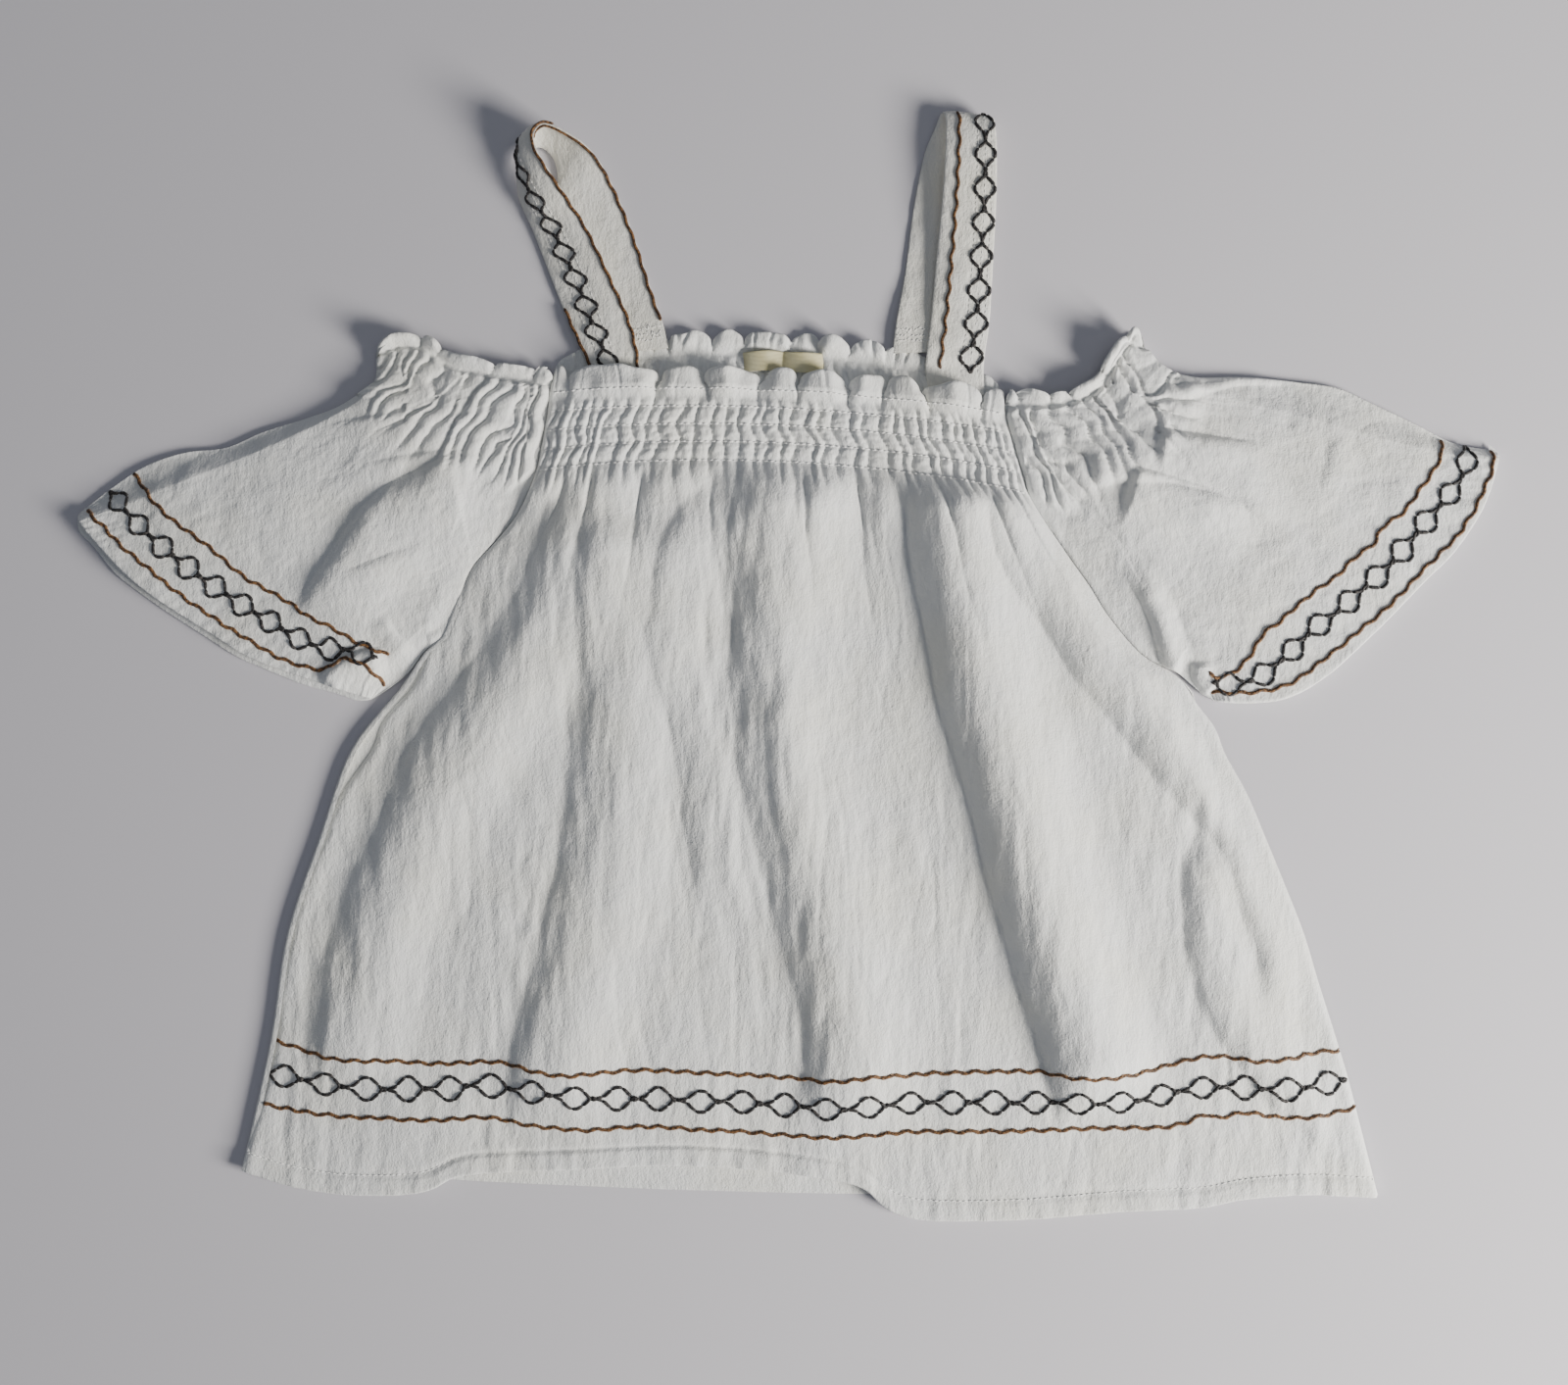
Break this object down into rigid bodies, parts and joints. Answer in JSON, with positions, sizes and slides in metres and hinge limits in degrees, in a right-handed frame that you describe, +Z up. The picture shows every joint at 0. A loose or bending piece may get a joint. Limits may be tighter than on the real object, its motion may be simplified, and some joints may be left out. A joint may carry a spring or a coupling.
{
  "type": "peasant blouse",
  "caption": "Child's off-shoulder peasant blouse laid flat: elastic shirred neck band with ruffle, raglan flutter sleeves, shoulder straps, flared body, embroidered hem and cuffs.",
  "frame": {"origin": "centre of the footprint, on the surface that the blouse lies on", "axes": "+X towards the wearer's left, +Y from the hem to the neck, +Z up out of the front"},
  "size_m": [0.5774, 0.4489, 0.0148],
  "materials": {
    "cotton": "light crepe cotton, matt",
    "strap_cotton": "doubled crepe cotton, matt",
    "label_tape": "woven tape, blank, slight sheen"
  },
  "bodies": {
    "root": {"back_panel": "cotton", "front_panel": "cotton", "sleeve_right": "cotton", "sleeve_left": "cotton", "strap_right": "strap_cotton", "strap_left": "strap_cotton", "label": "label_tape"}
  },
  "joints": []
}
